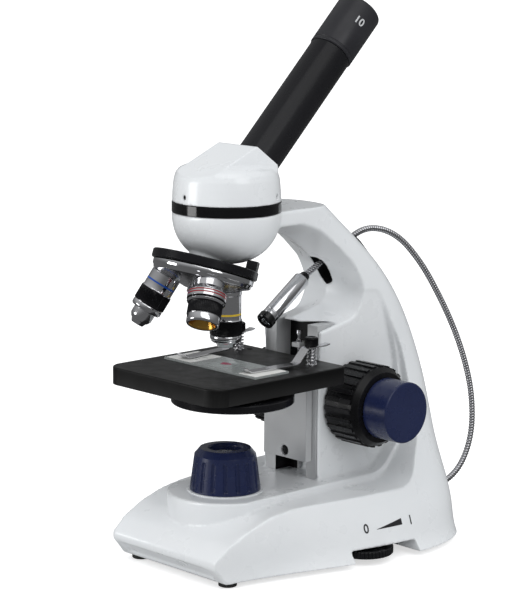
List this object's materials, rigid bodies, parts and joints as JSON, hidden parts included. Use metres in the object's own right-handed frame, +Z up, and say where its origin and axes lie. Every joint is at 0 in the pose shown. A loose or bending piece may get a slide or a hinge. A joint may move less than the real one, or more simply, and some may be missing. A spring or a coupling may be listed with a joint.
{
  "type": "microscope",
  "caption": "Student compound microscope: white cast stand, inclined monocular head, revolving nosepiece, focusing stage, base light and a flexible upper lamp.",
  "frame": {"origin": "centre of the object's box, on the table under the feet", "axes": "+Z up, +X to the right-hand side, +Y to the back, where the arm and the gooseneck are"},
  "size_m": [0.143, 0.2636, 0.3185],
  "materials": {
    "white_casting": "semi-gloss cool white powder coat",
    "black_cover": "fine-grained black moulding",
    "battery_holder_plastic": "plain black moulding",
    "cell_jacket": "plain printed sleeve",
    "circuit_board": "green solder mask",
    "black_rubber": "soft matte rubber",
    "black_plastic": "satin black moulding",
    "navy_plastic": "satin navy moulding",
    "white_trim": "smooth white moulding",
    "clear_glass": "polished clear glass",
    "steel_hose": "wound steel strip",
    "chrome": "bright chrome plate",
    "black_metal": "satin black enamel",
    "grey_aluminium": "bead-blasted grey anodising",
    "steel": "machined steel",
    "bronze": "sintered bronze",
    "black_knurl": "black knurled brass"
  },
  "bodies": {
    "stand": {"stand_casting": "white_casting", "bottom_cover": "black_cover", "bottom_cover_screws": "steel", "battery_door": "black_cover", "battery_holder": "battery_holder_plastic", "battery_cells": "cell_jacket", "battery_contacts": "steel", "control_board": "circuit_board", "dimmer_potentiometer": "battery_holder_plastic", "rubber_feet": "black_rubber", "illuminator_rim": "white_trim", "illuminator_collar": "navy_plastic", "illuminator_lens": "clear_glass", "illuminator_led": "white_trim", "gooseneck_gland": "black_metal", "gooseneck_rear": "steel_hose", "arm_slot_liner": "black_cover", "guide_channel": "grey_aluminium", "travel_stop_screw": "chrome", "shaft_bushes": "bronze", "head_ring": "black_metal", "nosepiece_plate": "black_metal", "nosepiece_pivot": "steel"},
    "dimmer": {"dimmer_wheel": "black_plastic"},
    "lamp_neck": {"gooseneck_neck": "steel_hose"},
    "lamp": {"lamp_housing": "chrome", "lamp_bezel": "black_metal", "lamp_lens": "clear_glass"},
    "coarse_focus": {"pinion_shaft": "steel", "coarse_knob_right": "black_plastic", "coarse_knob_left": "black_plastic"},
    "fine_focus": {"fine_shaft": "steel", "fine_knob_right": "navy_plastic", "fine_knob_left": "navy_plastic"},
    "stage": {"stage_carriage": "grey_aluminium", "carriage_screws": "steel", "focus_rack": "steel", "stage_plate": "black_metal", "condenser_mount": "black_metal", "condenser_lens": "clear_glass", "diaphragm_pivot": "steel", "clip_post_right": "black_knurl", "clip_post_left": "black_knurl"},
    "diaphragm": {"diaphragm_disc": "black_metal"},
    "clip_pivot_right": {"clip_spring_right": "steel"},
    "clip_right": {"clip_leaf_right": "chrome"},
    "clip_pivot_left": {"clip_spring_left": "steel"},
    "clip_left": {"clip_leaf_left": "chrome"},
    "slide": {"specimen_slide": "clear_glass"},
    "head": {"prism_housing": "white_casting", "head_set_screws": "steel", "prism": "clear_glass", "body_tube": "black_metal"},
    "eyepiece": {"eyepiece_body": "black_metal", "eyepiece_lenses": "clear_glass"},
    "nosepiece": {"nosepiece_turret": "chrome", "objective_low": "chrome", "objective_middle": "chrome", "objective_high": "chrome"},
    "high_nose": {"objective_high_nose": "chrome"}
  },
  "joints": [
    {"name": "stage_lift", "type": "slide", "parent": "stand", "child": "stage", "axis": [0, 0, 1], "range_m": [-0.009, 0.003]},
    {"name": "coarse_turn", "type": "hinge", "parent": "stand", "child": "coarse_focus", "pos_m": [0, -0.00321, 0.0855], "axis": [1, 0, 0], "range_deg": [-31, 93]},
    {"name": "fine_turn", "type": "hinge", "parent": "coarse_focus", "child": "fine_focus", "pos_m": [0, -0.00321, 0.0855], "axis": [1, 0, 0], "continuous": true},
    {"name": "diaphragm_turn", "type": "hinge", "parent": "stage", "child": "diaphragm", "pos_m": [0.0149, -0.09057, 0.1015], "axis": [0, 0, 1], "continuous": true},
    {"name": "dimmer_turn", "type": "hinge", "parent": "stand", "child": "dimmer", "pos_m": [0.0505, -0.02022, 0.004], "axis": [0, 0, 1], "range_deg": [0, 270]},
    {"name": "lamp_tilt", "type": "hinge", "parent": "stand", "child": "lamp_neck", "pos_m": [0, -0.00421, 0.1664], "axis": [1, 0, 0], "range_deg": [-8, 8]},
    {"name": "lamp_pan", "type": "hinge", "parent": "lamp_neck", "child": "lamp", "pos_m": [0, -0.02025, 0.15807], "axis": [0, -0.5821, 0.8131], "range_deg": [-15, 15]},
    {"name": "clip_swivel_right", "type": "hinge", "parent": "stage", "child": "clip_pivot_right", "pos_m": [0.03, -0.04421, 0.1135], "axis": [0, 0, 1], "range_deg": [-10, 65]},
    {"name": "clip_lift_right", "type": "hinge", "parent": "clip_pivot_right", "child": "clip_right", "pos_m": [0.02968, -0.04815, 0.1242], "axis": [-0.9967, 0.0815, 0], "range_deg": [0, 6], "stiffness_Nm_per_rad": 0.06, "springref_deg": -8.59, "deforming": ["clip_spring_right"]},
    {"name": "clip_swivel_left", "type": "hinge", "parent": "stage", "child": "clip_pivot_left", "pos_m": [-0.03, -0.04421, 0.1135], "axis": [0, 0, 1], "range_deg": [-65, 10]},
    {"name": "clip_lift_left", "type": "hinge", "parent": "clip_pivot_left", "child": "clip_left", "pos_m": [-0.02968, -0.04815, 0.1242], "axis": [-0.9967, -0.0815, 0], "range_deg": [0, 6], "stiffness_Nm_per_rad": 0.06, "springref_deg": -8.59, "deforming": ["clip_spring_left"]},
    {"name": "slide_shift", "type": "slide", "parent": "stage", "child": "slide", "axis": [1, 0, 0], "range_m": [-0.008, 0.008]},
    {"name": "head_turn", "type": "hinge", "parent": "stand", "child": "head", "pos_m": [0, -0.08221, 0.2072], "axis": [0, 0, 1], "continuous": true},
    {"name": "eyepiece_lift", "type": "slide", "parent": "head", "child": "eyepiece", "axis": [0, 0.7071, 0.7071], "range_m": [0, 0.021]},
    {"name": "nosepiece_turn", "type": "hinge", "parent": "stand", "child": "nosepiece", "pos_m": [0, -0.08221, 0.2208], "axis": [0, 0.3173, 0.9483], "continuous": true},
    {"name": "high_nose_press", "type": "slide", "parent": "nosepiece", "child": "high_nose", "axis": [0.2748, 0.4514, 0.849], "range_m": [0, 0.0017], "stiffness_N_per_m": 900, "springref_m": -0.0008}
  ],
  "couplings": [
    {"joint": "coarse_turn", "follows": "stage_lift", "rad_per_m": -178.57}
  ]
}
